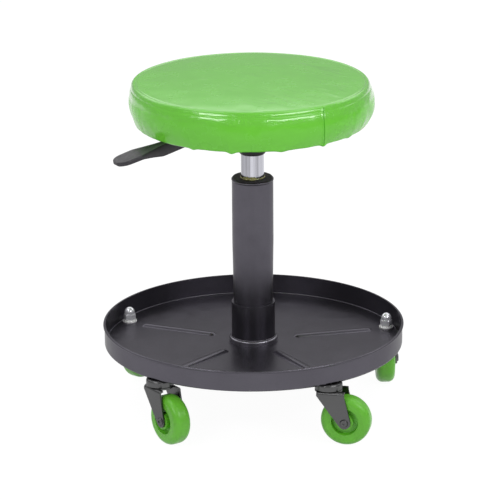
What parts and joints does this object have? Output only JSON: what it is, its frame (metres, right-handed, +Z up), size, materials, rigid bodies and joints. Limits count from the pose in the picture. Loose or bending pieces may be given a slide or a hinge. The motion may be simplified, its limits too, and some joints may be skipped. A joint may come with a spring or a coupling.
{
  "type": "creeper seat",
  "caption": "Round padded work seat on a gas lift column over a round tool tray, with a lift lever and swivel casters.",
  "frame": {"origin": "on the floor under the column's axis", "axes": "+Z up along the column, +Y from the column to the rear caster"},
  "size_m": [0.366, 0.3693, 0.4075],
  "materials": {
    "grey_coat": "satin powder coat, dark grey with a metallic fleck",
    "black_coat": "satin black coat",
    "fork_coat": "satin dark grey coat",
    "zinc": "bright zinc plate",
    "chrome_plate": "polished chrome plate",
    "steel": "plain steel",
    "brass_part": "machined brass",
    "black_plastic": "moulded, fine grain",
    "pale_plastic": "moulded nylon",
    "black_rubber": "moulded rubber",
    "green_vinyl": "glossy vinyl with soft wrinkles",
    "cream_foam": "open foam",
    "plywood": "birch plywood",
    "green_nylon": "moulded nylon, satin"
  },
  "bodies": {
    "base": {"tray": "grey_coat", "hub_ring": "zinc", "collar": "grey_coat", "stand_tube": "grey_coat", "guide_bush": "black_plastic", "foot_plate": "steel", "lower_washer": "steel", "thrust_balls": "chrome_plate", "caster_stems": "zinc", "swivel_cups": "fork_coat", "swivel_balls": "chrome_plate", "plain_washers": "zinc", "spring_washers": "zinc", "cap_nuts": "chrome_plate"},
    "spindle": {"piston_rod": "steel", "piston": "brass_part", "upper_washer": "steel", "rubber_stop": "black_rubber", "rod_clip": "steel"},
    "seat": {"pressure_tube": "chrome_plate", "inner_tube": "steel", "rod_guide": "pale_plastic", "valve_body": "brass_part", "taper_socket": "black_coat", "seat_plate": "black_coat", "pivot_ears": "black_coat", "lever_pin": "zinc", "seat_board": "plywood", "tee_nuts": "zinc", "plate_screws": "zinc", "seat_foam": "cream_foam", "seat_cover": "green_vinyl", "staples": "zinc"},
    "lever": {"lever_bar": "black_coat", "lever_handle": "black_plastic"},
    "valve_pin": {"release_pin": "steel"},
    "swivel_rear": {"fork_rear": "fork_coat", "axle_rear": "fork_coat", "axle_bush_rear": "steel"},
    "roller_rear": {"wheel_rear": "green_nylon"},
    "swivel_left": {"fork_left": "fork_coat", "axle_left": "fork_coat", "axle_bush_left": "steel"},
    "roller_left": {"wheel_left": "green_nylon"},
    "swivel_front_left": {"fork_front_left": "fork_coat", "axle_front_left": "fork_coat", "axle_bush_front_left": "steel"},
    "roller_front_left": {"wheel_front_left": "green_nylon"},
    "swivel_front_right": {"fork_front_right": "fork_coat", "axle_front_right": "fork_coat", "axle_bush_front_right": "steel"},
    "roller_front_right": {"wheel_front_right": "green_nylon"},
    "swivel_right": {"fork_right": "fork_coat", "axle_right": "fork_coat", "axle_bush_right": "steel"},
    "roller_right": {"wheel_right": "green_nylon"}
  },
  "joints": [
    {"name": "seat_swivel", "type": "hinge", "parent": "base", "child": "spindle", "pos_m": [0, 0, 0.0892], "axis": [0, 0, 1], "continuous": true},
    {"name": "seat_lift", "type": "slide", "parent": "spindle", "child": "seat", "axis": [0, 0, 1], "range_m": [0, 0.12]},
    {"name": "lever_lift", "type": "hinge", "parent": "seat", "child": "lever", "pos_m": [-0.02552, -0.0176, 0.3499], "axis": [-0.5678, 0.8231, 0], "range_deg": [0, 4], "stiffness_Nm_per_rad": 4},
    {"name": "pin_press", "type": "slide", "parent": "seat", "child": "valve_pin", "axis": [0, 0, -1], "range_m": [0, 0.0022]},
    {"name": "caster_swivel_rear", "type": "hinge", "parent": "base", "child": "swivel_rear", "pos_m": [0, 0.1695, 0.0673], "axis": [0, 0, 1], "continuous": true},
    {"name": "wheel_spin_rear", "type": "hinge", "parent": "swivel_rear", "child": "roller_rear", "pos_m": [-0.0215, 0.1695, 0.03], "axis": [0, -1, 0], "continuous": true},
    {"name": "caster_swivel_left", "type": "hinge", "parent": "base", "child": "swivel_left", "pos_m": [-0.15877, 0.05936, 0.0673], "axis": [0, 0, 1], "continuous": true},
    {"name": "wheel_spin_left", "type": "hinge", "parent": "swivel_left", "child": "roller_left", "pos_m": [-0.14706, 0.07739, 0.03], "axis": [-0.8387, 0.5446, 0], "continuous": true},
    {"name": "caster_swivel_front_left", "type": "hinge", "parent": "base", "child": "swivel_front_left", "pos_m": [-0.10058, -0.13643, 0.0673], "axis": [0, 0, 1], "continuous": true},
    {"name": "wheel_spin_front_left", "type": "hinge", "parent": "swivel_front_left", "child": "roller_front_left", "pos_m": [-0.08676, -0.1529, 0.03], "axis": [0.766, 0.6428, 0], "continuous": true},
    {"name": "caster_swivel_front_right", "type": "hinge", "parent": "base", "child": "swivel_front_right", "pos_m": [0.09963, -0.13713, 0.0673], "axis": [0, 0, 1], "continuous": true},
    {"name": "wheel_spin_front_right", "type": "hinge", "parent": "swivel_front_right", "child": "roller_front_right", "pos_m": [0.1209, -0.14027, 0.03], "axis": [0.1461, 0.9893, 0], "continuous": true},
    {"name": "caster_swivel_right", "type": "hinge", "parent": "base", "child": "swivel_right", "pos_m": [0.15978, 0.05658, 0.0673], "axis": [0, 0, 1], "continuous": true},
    {"name": "wheel_spin_right", "type": "hinge", "parent": "swivel_right", "child": "roller_right", "pos_m": [0.15753, 0.07796, 0.03], "axis": [-0.9945, -0.1045, 0], "continuous": true}
  ],
  "couplings": [
    {"joint": "pin_press", "follows": "lever_lift", "m_per_rad": 0.031}
  ]
}
